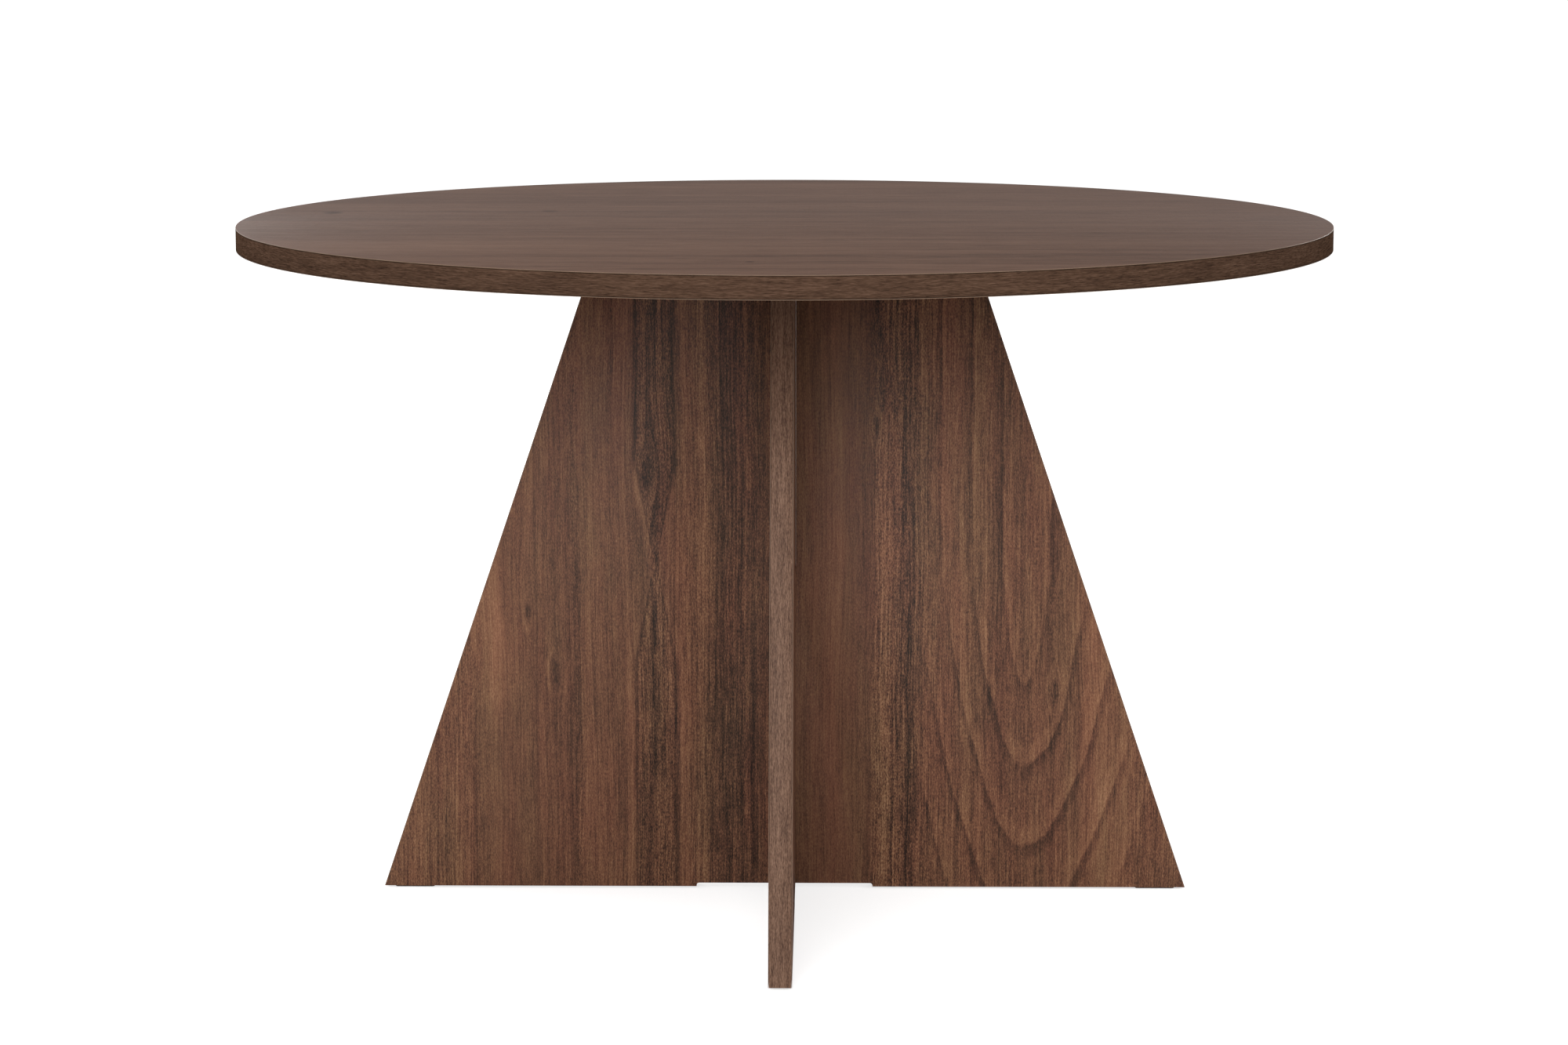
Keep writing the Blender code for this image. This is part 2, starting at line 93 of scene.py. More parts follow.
class Finish:
    """A material in the making, with one Principled shader."""

    def __init__(self, name, specular=0.2, metallic=0.0):
        self.material = bpy.data.materials.new(name)
        self.material.use_nodes = True
        self.tree = self.material.node_tree
        self.shader = self.tree.nodes["Principled BSDF"]
        self.shader.inputs["Specular IOR Level"].default_value = specular
        self.shader.inputs["Metallic"].default_value = metallic
        place = self.node("ShaderNodeTexCoord", output="Object")
        split = self.node("ShaderNodeSeparateXYZ", inputs={"Vector": place}, output="X")
        self.x, self.y, self.z = (Amount(self, out) for out in split.socket.node.outputs)

    def node(self, kind, settings=None, inputs=None, output=0):
        """Adds a node: its settings first, then a value or a link for each socket."""
        node = self.tree.nodes.new(kind)
        for name, value in (settings or {}).items():
            if name == "stops":
                while len(node.color_ramp.elements) < len(value):
                    node.color_ramp.elements.new(1.0)
                for stop, (at, colour) in zip(node.color_ramp.elements, value):
                    stop.position = at
                    stop.color = (*colour, 1.0)
            else:
                setattr(node, name, value)
        for name, value in (inputs or {}).items():
            self.feed(node.inputs[name], value)
        return Amount(self, node.outputs[output])

    def feed(self, socket, value):
        if isinstance(value, Amount):
            self.tree.links.new(value.socket, socket)
        elif isinstance(value, tuple) and len(value) == 3 and socket.type == "RGBA":
            socket.default_value = (*value, 1.0)
        else:
            socket.default_value = value

    def maths(self, operation, *values):
        sums = {"operation": operation}
        return self.node("ShaderNodeMath", sums, dict(enumerate(values)))

    def at(self, x, y, z):
        return self.node("ShaderNodeCombineXYZ", inputs={"X": x, "Y": y, "Z": z})

    def noise(self, x, y, z, detail=2.0, roughness=0.5):
        """Cloudy noise, 0 to 1 and mostly near 0.5. Its clouds are about 1 across in x, y, z."""
        sockets = {"Vector": self.at(x, y, z), "Scale": 1.0}
        sockets |= {"Detail": detail, "Roughness": roughness}
        return self.node("ShaderNodeTexNoise", inputs=sockets)

    def ease(self, value, low, high):
        """0 where value is under low, 1 where it is over high, and smooth between them."""
        sockets = {"Value": value, "From Min": low, "From Max": high}
        return self.node("ShaderNodeMapRange", {"interpolation_type": "SMOOTHSTEP"}, sockets)

    def ramp(self, value, stops):
        """A colour for each value, from (value, colour) stops."""
        return self.node("ShaderNodeValToRGB", {"stops": stops}, {"Fac": value})

    def blend(self, share, first, second, how="MIX"):
        """Two colours mixed. The node's colour sockets share their names, so they go by number."""
        settings = {"data_type": "RGBA", "blend_type": how, "clamp_factor": True}
        return self.node("ShaderNodeMix", settings, {0: share, 6: first, 7: second}, output=2)

    def paint(self, colour, roughness, height=None, depth=0.0001):
        """Colour, roughness and a relief of that depth in metres, onto the shader."""
        self.feed(self.shader.inputs["Base Color"], colour)
        self.feed(self.shader.inputs["Roughness"], roughness)
        if height is not None:
            relief = {"Height": height, "Distance": depth, "Strength": 1.0}
            self.feed(self.shader.inputs["Normal"], self.node("ShaderNodeBump", inputs=relief))


def fibreboard_finish():
    finish = Finish("raw_fibreboard", specular=0.2)
    x, y, z = (way / FIBRE_SPECK for way in (finish.x, finish.y, finish.z))
    tufts = finish.noise(x, y, z, 3.0, 0.6)
    x, y, z = (way / FIBRE_CLOUD for way in (finish.x, finish.y, finish.z))
    clouds = finish.noise(x, y, z, 2.0)
    colour = finish.blend(tufts * 0.8 + clouds * 0.3, FIBRE_DARK, FIBRE_PALE)
    finish.paint(colour, 0.8 + tufts * 0.15, tufts, FIBRE_RELIEF)
    return finish.material


def give_node(node, material):
    """A new finish for a CAD node that keeps its shape."""
    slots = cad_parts[node].data.materials
    slots.clear()
    slots.append(material)


FIBREBOARD = fibreboard_finish()
for core in ("top_core", "wide_panel_core", "deep_panel_core"):
    give_node(core, FIBREBOARD)

# ---------------------------------------------------------------- face and backing of the top
# Two round sheets of walnut veneer, pressed onto the core and trimmed flush with the edge band.
# A thin pale line painted round the rim is partly their light cut edges, partly a painted highlight
# on the eased arris. The grain runs along X. Both have a satin lacquer, and the backing has holes
# for the inserts and dowels.
RIM_STEPS = 720
ARRIS = 0.00025  # how far a trimmed edge is eased with fine paper
CUT_AND_HIGHLIGHT_REACH = 0.0009  # how far in from the rim the pale line of cut edge and painted highlight shows
CUT_AND_HIGHLIGHT_STRENGTH = 0.8  # how much of the wood's colour the pale cut edge and painted highlight hide
INSERT_HOLE = 0.0053  # radius
DOWEL_HOLE = 0.0043  # radius
BIT_DEPTH = 0.004  # more than enough to go through a veneer
CLOSE = 1e-5  # a corner that is nearer than this to a level lies on it
UP = Vector((0, 0, 1))
TOP_LOW, TOP_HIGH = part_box("top_face_veneer")
BACKING_LOW, BACKING_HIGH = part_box("top_backing_veneer")
TOP_RADIUS = TOP_HIGH[0]


def start_on(name):
    """Names the new primitive, and puts its place and size into its mesh."""
    piece = bpy.context.object
    piece.name = piece.data.name = name
    bpy.ops.object.transform_apply(location=True, rotation=True, scale=True)
    return piece


def alone(piece):
    """Makes a piece the only one selected."""
    bpy.ops.object.select_all(action="DESELECT")
    piece.select_set(True)
    bpy.context.view_layer.objects.active = piece


def pick(piece, wanted, kind="EDGE"):
    """Goes into edit mode with the corners, edges or faces selected that wanted() says yes to."""
    alone(piece)
    bpy.ops.object.mode_set(mode="EDIT")
    bpy.ops.mesh.select_mode(type=kind)
    bpy.ops.mesh.select_all(action="DESELECT")
    bpy.ops.object.mode_set(mode="OBJECT")
    mesh = piece.data
    for part in {"VERT": mesh.vertices, "EDGE": mesh.edges, "FACE": mesh.polygons}[kind]:
        numbers = [part.index] if kind == "VERT" else part.vertices
        part.select = wanted([mesh.vertices[i].co for i in numbers])
    bpy.ops.object.mode_set(mode="EDIT")


def done_editing():
    bpy.ops.object.mode_set(mode="OBJECT")


def modify(piece, kind, **settings):
    """Adds a modifier and applies it."""
    alone(piece)
    modifier = piece.modifiers.new(kind.lower(), kind)
    for name, value in settings.items():
        setattr(modifier, name, value)
    bpy.ops.object.modifier_apply(modifier=modifier.name)


def smooth(piece, angle=35):
    alone(piece)
    bpy.ops.object.shade_smooth_by_angle(angle=radians(angle))


def finished(piece, material, slot, *nodes):
    """Gives a piece its finish, hangs it under the root, and hides the CAD nodes it stands for."""
    piece.data.materials.clear()
    piece.data.materials.append(material)
    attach(piece, "root")
    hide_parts(*nodes)
    return piece


def round_sheet(name, low, high):
    """A disc of veneer, with the arris on the outer side of its rim eased."""
    bpy.ops.object.select_all(action="DESELECT")
    bpy.ops.mesh.primitive_cylinder_add(
        vertices=RIM_STEPS, radius=TOP_RADIUS, depth=high - low, location=(0, 0, (low + high) / 2)
    )
    sheet = start_on(name)
    outer = high if high == TOP_HIGH[2] else low
    pick(sheet, lambda ends: all(abs(end.z - outer) < CLOSE for end in ends))
    bpy.ops.mesh.bevel(offset=ARRIS, segments=2)
    done_editing()
    return sheet


def drill(piece, centres, direction, radius, depth, sides=24):
    """Cuts holes through or into a piece with one set of bits, which is then removed."""
    bits = []
    turn = UP.rotation_difference(direction).to_euler()
    for centre in centres:
        bpy.ops.object.select_all(action="DESELECT")
        bpy.ops.mesh.primitive_cylinder_add(
            vertices=sides, radius=radius, depth=depth, location=centre, rotation=turn
        )
        bits.append(start_on("bit"))
    bpy.ops.object.select_all(action="DESELECT")
    for bit in bits:
        bit.select_set(True)
    bpy.context.view_layer.objects.active = bits[0]
    bpy.ops.object.join()
    modify(piece, "BOOLEAN", object=bits[0], operation="DIFFERENCE", solver="EXACT")
    bpy.data.objects.remove(bits[0])


def middle_of(node):
    low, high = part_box(node)
    return (Vector(low) + Vector(high)) / 2


def grain(finish, along, across, seed, layers):
    """Streaks along the grain, about 0. Each layer is (width, length, strength) of its streaks."""
    total = 0.0
    for number, (width, length, strength) in enumerate(layers):
        streaks = finish.noise(along / length, across / width, seed + number * 3.7, 1.5, 0.6)
        total = (streaks - 0.5) * strength + total
    return total


def pores(finish, along, across, seed, length=0.006, width=0.0004):
    """Short dark open pores along the grain, 0 to 1."""
    dashes = finish.noise(along / length, across / width, seed, 1.0)
    return finish.ease(dashes, 0.56, 0.72)


def top_finish():
    finish = Finish("walnut_top", specular=0.1)
    along, across = finish.x, finish.y
    wander = (finish.noise(along * 1.6, across * 3, 2.0, 2.0) - 0.5) * 0.035
    flow, knots = across + wander, 0.0
    for place, side, radius, darkness in TOP_KNOTS:
        off_place, off_side = along - place, across - side
        near = off_place * off_place * 0.2 + off_side * off_side
        flow = flow - off_side * (radius**2 * 0.2) / (near + radius**2 * 0.15)
        spot = off_place * off_place + off_side * off_side * 0.6
        knots = knots + finish.ease(radius**2 - spot, 0.0, radius**2) * darkness
    tone = 0.5 + grain(finish, along, flow, 4.0, TOP_GRAIN)
    pits = pores(finish, along, across, 11.0)
    tone = tone - pits * 0.08 - knots
    wood = finish.ramp(tone, TOP_TONES)
    rim = (along * along + across * across) ** 0.5
    # A pale line painted round the rim: the veneer's cut edge, and partly a painted highlight on the
    # arris.
    edge = finish.ease(rim, TOP_RADIUS - CUT_AND_HIGHLIGHT_REACH, TOP_RADIUS - CUT_AND_HIGHLIGHT_REACH / 2)
    colour = finish.blend(edge * CUT_AND_HIGHLIGHT_STRENGTH, wood, CUT_AND_HIGHLIGHT_TONE)
    fine = grain(finish, along, flow, 21.0, TOP_GRAIN[-2:])
    finish.paint(colour, SATIN + fine * 0.3 + pits * 0.1, fine - pits * 0.5, TOP_RELIEF)
    return finish.material


SATIN = 0.5  # how rough the lacquer is
TOP_RELIEF = 0.00004  # how deep the pores show through it
TOP_KNOTS = [  # where each is, its radius and how dark it is
    (-0.519, 0.11, 0.015, 0.35),
    (-0.271, 0.135, 0.013, 0.2),
    (-0.03, -0.473, 0.006, 0.25),
]
TOP_GRAIN = [
    (0.11, 1.6, 0.4),
    (0.03, 0.7, 0.33),
    (0.012, 0.3, 0.33),
    (0.005, 0.1, 0.4),
    (0.0022, 0.04, 0.5),
    (0.001, 0.015, 0.4),
]
TOP_TONES = [
    (0.15, (0.0414, 0.0208, 0.0137)),
    (0.4, (0.0901, 0.0485, 0.0328)),
    (0.55, (0.115, 0.0633, 0.0431)),
    (0.85, (0.1609, 0.092, 0.0628)),
]
# Pale colour of the cut edges, which also serves as a painted highlight on the arris.
CUT_AND_HIGHLIGHT_TONE = (0.19, 0.125, 0.085)

WALNUT_TOP = top_finish()
face = round_sheet("walnut_face_of_top", TOP_LOW[2], TOP_HIGH[2])
smooth(face)
finished(face, WALNUT_TOP, "veneer_top", "top_face_veneer")

backing = round_sheet("walnut_backing_of_top", BACKING_LOW[2], BACKING_HIGH[2])
WINGS = ("right", "back", "left", "front")
insert_mouths = [middle_of(f"top_insert_{wing}_{n}") for wing in WINGS for n in (1, 2)]
dowel_mouths = [middle_of(f"dowel_{wing}") for wing in WINGS]
for centres, radius in ((insert_mouths, INSERT_HOLE), (dowel_mouths, DOWEL_HOLE)):
    level = [(centre.x, centre.y, BACKING_LOW[2]) for centre in centres]
    drill(backing, level, UP, radius, BIT_DEPTH)
smooth(backing)
finished(backing, WALNUT_TOP, "veneer_top", "top_backing_veneer")

# ---------------------------------------------------------------- edge band of the top
# A strip of walnut 1 mm thick, bent round the rim between the two sheets and glued. Its grain
# runs round the table, with short dark pores. The glue lines above and below it are dark.
BAND_LOW, BAND_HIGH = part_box("top_edge_band")
BAND_THICKNESS = 0.001
GLUE_LINE = 0.0012  # how far the glue darkens the band, from each of its edges
GLUE_STRENGTH = 0.75
BAND_RELIEF = 0.00008


def rim_band_finish():
    finish = Finish("walnut_rim", specular=0.0)
    round_the_rim = finish.maths("ARCTAN2", finish.x, finish.y * -1) * TOP_RADIUS
    height = finish.z
    wander = (finish.noise(round_the_rim * 5, height * 20, 1.0, 2.0) - 0.5) * 0.004
    flow = height + wander
    pits = pores(finish, round_the_rim, height, 5.0, 0.008, 0.0006)
    tone = 0.5 + grain(finish, round_the_rim, flow, 3.0, RIM_GRAIN) - pits * 0.2
    wood = finish.ramp(tone, RIM_TONES)
    middle, half = (BAND_LOW[2] + BAND_HIGH[2]) / 2, (BAND_HIGH[2] - BAND_LOW[2]) / 2
    glue = finish.ease(abs(height - middle), half - GLUE_LINE, half)
    colour = finish.blend(glue * GLUE_STRENGTH, wood, GLUE_TONE)
    finish.paint(colour, 0.6 + pits * 0.2, tone * 0.5 - pits, BAND_RELIEF)
    return finish.material


RIM_GRAIN = [
    (0.02, 0.12, 0.22),
    (0.006, 0.08, 0.24),
    (0.0025, 0.03, 0.34),
    (0.0012, 0.016, 0.62),
    (0.001, 0.007, 0.5),
]
RIM_TONES = [
    (0.2, (0.0224, 0.0123, 0.0084)),
    (0.5, (0.0605, 0.0338, 0.0216)),
    (0.8, (0.103, 0.0595, 0.0396)),
]
GLUE_TONE = (0.016, 0.01, 0.007)

bpy.ops.object.select_all(action="DESELECT")
bpy.ops.mesh.primitive_cylinder_add(
    vertices=RIM_STEPS,
    radius=TOP_RADIUS,
    depth=BAND_HIGH[2] - BAND_LOW[2],
    end_fill_type="NOTHING",
    location=(0, 0, (BAND_LOW[2] + BAND_HIGH[2]) / 2),
)
band = start_on("walnut_rim_band")
modify(band, "SOLIDIFY", thickness=BAND_THICKNESS, offset=-1)
modify(band, "BEVEL", width=ARRIS, segments=2, limit_method="ANGLE", angle_limit=radians(60))
smooth(band)
finished(band, rim_band_finish(), "veneer_band", "top_edge_band")

# ---------------------------------------------------------------- veneers of the panels
# Each panel has a leaf of walnut on both faces, with upright grain. The leaves are cut to the
# panel's taper, slotted for the other panel and relieved along the floor with rounded corners.
# A satin lacquer covers them. The front leaf has knots and a tall nest of arches.
VENEER = 0.0006
WIDE_LOW, WIDE_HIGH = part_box("wide_panel_veneer_front")
FOOT = WIDE_HIGH[0]  # half the panel's length along the floor
NECK = max(
    corner.co.x
    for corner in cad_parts["wide_panel_veneer_front"].data.vertices
    if corner.co.z > WIDE_HIGH[2] - CLOSE
)
TAPER = (FOOT - NECK) / (WIDE_HIGH[2] - WIDE_LOW[2])  # how far the ends lean in per metre up
SLOT_HALF = 0.0129  # half the width of the slot for the other panel
SLOT_STOP = (WIDE_LOW[2] + WIDE_HIGH[2]) / 2
RELIEF_HALF = 0.1005  # half the length of the relief along the floor
RELIEF_TOP = WIDE_LOW[2] + 0.004
RELIEF_CORNER = 0.003
PANEL_RELIEF = 0.00005


def quarter_turn(piece):
    """Turns a piece that lies along X to lie along Y."""
    piece.rotation_euler = (0, 0, pi / 2)
    alone(piece)
    bpy.ops.object.transform_apply(location=True, rotation=True, scale=True)


def leaf(name, middle, slot_from_head):
    """A leaf of veneer standing in the XZ plane, middle being its place across."""
    low, high = WIDE_LOW[2], WIDE_HIGH[2]
    bpy.ops.object.select_all(action="DESELECT")
    bpy.ops.mesh.primitive_plane_add(size=1, rotation=(pi / 2, 0, 0), location=(0, 0, (low + high) / 2))
    bpy.context.object.scale = (2 * FOOT, high - low, 1)
    sheet = start_on(name)
    pick(sheet, lambda ends: all(end.z > 0.5 for end in ends))
    bpy.ops.transform.resize(value=(NECK / FOOT, 1, 1), center_override=(0, 0, high))
    cuts = [((x, 0, 0), (1, 0, 0)) for x in (-SLOT_HALF, SLOT_HALF, -RELIEF_HALF, RELIEF_HALF)]
    cuts += [((0, 0, z), (0, 0, 1)) for z in (SLOT_STOP, RELIEF_TOP)]
    for point, normal in cuts:
        bpy.ops.mesh.select_all(action="SELECT")
        bpy.ops.mesh.bisect(plane_co=point, plane_no=normal)
    done_editing()

    def cut_away(corners):
        centre = sum(corners, Vector()) / len(corners)
        in_relief = abs(centre.x) < RELIEF_HALF and centre.z < RELIEF_TOP
        above = centre.z > SLOT_STOP
        return in_relief or (abs(centre.x) < SLOT_HALF and above == slot_from_head)

    pick(sheet, cut_away, "FACE")
    bpy.ops.mesh.delete(type="FACE")
    bpy.ops.mesh.select_all(action="SELECT")
    bpy.ops.mesh.dissolve_limited(angle_limit=radians(1))
    done_editing()

    def relief_corner(ends):
        off_side, off_top = abs(ends[0].x) - RELIEF_HALF, ends[0].z - RELIEF_TOP
        return abs(off_side) < CLOSE and abs(off_top) < CLOSE

    pick(sheet, relief_corner, "VERT")
    bpy.ops.mesh.bevel(offset=RELIEF_CORNER, segments=6, affect="VERTICES")
    done_editing()
    modify(sheet, "SOLIDIFY", thickness=VENEER, offset=0)
    modify(sheet, "BEVEL", width=ARRIS / 2, segments=2, limit_method="ANGLE", angle_limit=radians(50))
    sheet.location.y = middle
    alone(sheet)
    bpy.ops.object.transform_apply(location=True, rotation=True, scale=True)
    return sheet


def screw_holes(sheet, wing, direction):
    """Drills a leaf where a bracket's screws go through it into the panel."""
    here = abs(sheet.data.vertices[0].co.dot(direction)) * direction
    mouths = [middle_of(f"panel_insert_{wing}_{n}") for n in (1, 2)]
    level = [mouth - mouth.dot(direction) * direction + here for mouth in mouths]
    drill(sheet, level, direction, INSERT_HOLE, BIT_DEPTH)


WALNUT_TONES = [
    (0.0, (0.014, 0.007, 0.0046)),
    (0.25, (0.052, 0.0251, 0.0156)),
    (0.42, (0.098, 0.0428, 0.0258)),
    (0.5, (0.128, 0.0558, 0.0331)),
    (0.6, (0.165, 0.0744, 0.0414)),
    (0.75, (0.22, 0.1079, 0.058)),
    (1.0, (0.32, 0.1674, 0.092)),
]
ARCH_NOSE = 0.0045  # how blunt the tip of the innermost arch is
ARCH_OPENING = 0.13  # how much blunter the arches grow with each metre that they are lower
ARCH_STRAIGHT = 0.13  # how far above the top tip their sides turn upright
ARCH_DARK = 0.13  # how dark the late wood of a ring is
ARCH_PALE = 0.085  # how pale the early wood next to it is
ARCH_FAINT = 0.02  # how dark the finer lines between the rings are
KNOT_STRETCH = 0.3  # a knot's height counts for this much of its width
KNOT_DARKNESS = 0.16
HALO_PALENESS = 0.15  # of the wood that bends round a knot
WAIST_OPENING = 0.19  # how fast the streak widens, up and down from its waist
WAIST_LEAST = 0.003  # half its width at the waist
WAIST_OUTLINE = 0.2  # how dark its outline is
WAIST_INSIDE = 0.13  # how dark its inside is, above the waist
LEAF_CUT_AND_HIGHLIGHT = (0.0004, 0.0011)  # from a leaf's end: the pale cut edge with its painted highlight, and the wood's own colour
LEAF_CUT_AND_HIGHLIGHT_STRENGTH = 0.7
TINTS = [(0.35, (1.0, 0.92, 0.91)), (0.65, (0.94, 1.0, 0.94))]


def bell(finish, distance, width):
    """1 at a line or a point, falling away to 0 at about twice the width from it."""
    share = distance / width
    return finish.maths("EXPONENT", share * share * -1)


def arch_lines(finish, side, height, wander, arches, seed):
    """The growth rings of a flat-cut leaf: arches, one in another, with their tips down."""
    place, top_tip, ring = arches
    off_side = side - place + wander * 0.5
    off_side = off_side * (1 - finish.ease(off_side, 0.0, 0.03) * 0.2)
    climb = finish.maths("MINIMUM", height - top_tip, ARCH_STRAIGHT)
    spread = ARCH_NOSE + climb * ARCH_OPENING
    inner = spread * spread + (off_side * off_side - climb * ARCH_NOSE) * (4 * ARCH_OPENING)
    drop = (finish.maths("MAXIMUM", inner, 0.0) ** 0.5 - spread) / (2 * ARCH_OPENING)
    drop = drop + (finish.noise(side * 25, height * 8, seed + 8, 3.0) - 0.5) * 0.03
    rings = finish.maths("FRACT", drop / ring)
    dark = finish.ease(rings, 0.0, 0.03) * (1 - finish.ease(rings, 0.05, 0.25))
    pale = finish.ease(rings, 0.55, 0.95) * (1 - finish.ease(rings, 0.97, 1.0))
    faint = finish.ease(abs(finish.maths("FRACT", drop / (ring * 0.24)) - 0.5), 0.25, 0.5)
    uneven = finish.noise(side * 20, height * 4, seed + 9, 2.0)
    here = finish.ease(off_side, -0.13, -0.1) * (1 - finish.ease(off_side, 0.08, 0.12))
    here = here * finish.ease(drop, -0.03, 0.0)
    lines = pale * ARCH_PALE - dark * ARCH_DARK - faint * ARCH_FAINT
    return lines * here * (uneven * 2)


def panel_finish(name, across_name, leaf_tones_and_shading, seed, knots=(), veins=(), waist=None, arches=None):
    """Walnut on a panel's face. across_name is the axis that crosses the grain.

    The leaf's tones are (place, tone, contrast) across it; 0.5 is the middling brown. Next to the
    crossing panel they also hold painted shade of the inner corner on one side, and painted light
    that lifts the other side out of the crossing panel's cast shadow.
    knots are (place, height, radius). veins are (place, width, depth, low, high), dark
    where depth is positive. waist is (place, height, half width) of a dark streak that
    narrows there. arches are (place, height of the top tip, from one tip down to the next).
    """
    finish = Finish(name)
    side, height = getattr(finish, across_name), finish.z
    wander = (finish.noise(side * 2.5, height * 1.7, seed, 2.0) - 0.5) * 0.022
    wander = wander + (finish.noise(side * 9, height * 6, seed + 5, 2.0) - 0.5) * 0.006
    flow = side + wander
    shade = 0.0
    for place, up, radius in knots:
        off_side, off_height = side - place, (height - up) * KNOT_STRETCH
        near = off_side * off_side + off_height * off_height
        flow = flow - off_side * radius**2 / (near + (radius * 0.5) ** 2)
        heart = finish.ease(radius**2 * 0.7 - near, 0.0, radius**2 * 0.7)
        shade = shade + heart * KNOT_DARKNESS
        halo = bell(finish, (near**0.5 - radius * 1.3) / radius, 0.3)
        left_of_it = finish.ease(off_side, radius * 0.3, radius * -0.8)
        shade = shade - halo * left_of_it * HALO_PALENESS
    # Tones across the leaf from the table, with its painted corner shade and painted light.
    stops = [((place + FOOT) / (2 * FOOT), (tone, spread, 0)) for place, tone, spread in leaf_tones_and_shading]
    leaf_map = finish.ramp((flow + FOOT) / (2 * FOOT), stops)
    parts = finish.node("ShaderNodeSeparateXYZ", inputs={"Vector": leaf_map})
    tone, contrast = (Amount(finish, out) for out in parts.socket.node.outputs[:2])
    for place, width, depth, low, high in veins:
        reach = finish.ease(height, low - 0.05, low) * (1 - finish.ease(height, high, high + 0.08))
        tone = tone - bell(finish, flow - place, width) * reach * depth
    if waist:
        place, up, half = waist
        open_up = ((height - up) * WAIST_OPENING) ** 2 + WAIST_LEAST**2
        width = finish.maths("MINIMUM", open_up**0.5, half)
        share = abs(side + wander * 0.35 - place) / width
        upper = finish.ease(height, up - 0.01, up + 0.03)
        inside = 1 - finish.ease(share, 0.8, 1.1)
        core = bell(finish, share, 0.35) * (1 - upper) * finish.ease(up - height, 0.02, 0.06)
        outline, halo = bell(finish, share - 1, 0.11), bell(finish, share - 1.4, 0.2)
        tone = tone - outline * WAIST_OUTLINE + halo * 0.05
        tone = tone - inside * upper * WAIST_INSIDE - core * 0.03
        contrast = contrast + inside * 0.3
    broad = grain(finish, height, flow, seed + 1, PANEL_BROAD)
    streaks = grain(finish, height, flow, seed + 1, PANEL_GRAIN)
    flecks = grain(finish, height, side, seed + 2, PANEL_FLECKS)
    pits = pores(finish, height, flow, seed)
    tone = tone + broad + (streaks + flecks) * contrast * 2 - pits * 0.05 - shade
    if arches:
        tone = tone + arch_lines(finish, side, height, wander, arches, seed)
    wood = finish.ramp(tone, WALNUT_TONES)
    tint = finish.noise(flow * 30, height * 4, seed + 6, 3.0, 0.6)
    wood = finish.blend(1.0, wood, finish.ramp(tint, TINTS), "MULTIPLY")
    # A pale line painted along the leaf's slanted ends: its cut edge, and partly a painted highlight on
    # the arris.
    end = FOOT - (height - WIDE_LOW[2]) * TAPER - abs(side)
    end_cut_and_highlight = 1 - finish.ease(end, *LEAF_CUT_AND_HIGHLIGHT)
    colour = finish.blend(end_cut_and_highlight * LEAF_CUT_AND_HIGHLIGHT_STRENGTH, wood, CUT_AND_HIGHLIGHT_TONE)
    relief = streaks + flecks - pits * 0.6
    finish.paint(colour, SATIN + flecks * 0.3 + pits * 0.1, relief, PANEL_RELIEF)
    return finish.material


PANEL_BROAD = [
    (0.018, 1.2, 0.24),
    (0.007, 0.35, 0.2),
]
PANEL_GRAIN = [
    (0.0045, 0.5, 0.2),
    (0.0024, 0.25, 0.32),
    (0.0014, 0.05, 0.5),
]
PANEL_FLECKS = [
    (0.03, 0.06, 0.1),
    (0.006, 0.02, 0.16),
    (0.0018, 0.007, 0.38),
    (0.0011, 0.0028, 0.8),
]
# Tones across the front leaf. From -0.084 to -0.03, left of the crossing panel, they are partly the
# leaf's own dark figure and partly painted shade of the inner corner. From 0.0 to 0.07, right of it,
# they are raised as painted light against the shadow that the crossing panel casts.
FRONT_TONES_AND_CORNER_SHADING = [
    (-0.44, 0.55, 0.6),
    (-0.40, 0.56, 0.6),
    (-0.36, 0.53, 0.6),
    (-0.32, 0.53, 0.4),
    (-0.245, 0.48, 0.5),
    (-0.234, 0.44, 0.7),
    (-0.229, 0.54, 0.5),
    (-0.19, 0.515, 0.5),
    (-0.12, 0.51, 0.6),
    (-0.095, 0.54, 0.7),
    (-0.084, 0.4, 0.7),
    (-0.055, 0.385, 0.8),
    (-0.03, 0.41, 0.7),
    (0.0, 0.54, 0.4),
    (0.07, 0.55, 0.35),
    (0.098, 0.46, 0.5),
    (0.102, 0.52, 0.9),
    (0.13, 0.48, 1.0),
    (0.15, 0.48, 0.8),
    (0.18, 0.51, 0.6),
    (0.26, 0.5, 0.6),
    (0.33, 0.51, 0.5),
    (0.348, 0.585, 0.5),
    (0.387, 0.61, 0.5),
    (0.392, 0.52, 0.6),
    (0.44, 0.52, 0.6),
]
FRONT_KNOTS = [
    (-0.29, 0.32, 0.005),
    (-0.26, 0.252, 0.006),
    (-0.154, 0.479, 0.01),
    (-0.146, 0.377, 0.005),
    (0.1025, 0.533, 0.005),
    (0.306, 0.231, 0.006),
]
END_VEINS = [
    (-0.385, 0.003, 0.07, 0.0, 0.2),
    (-0.35, 0.004, 0.09, 0.0, 0.22),
    (-0.325, 0.018, -0.16, 0.24, 0.32),
    (-0.157, 0.007, 0.17, 0.0, 0.11),
]
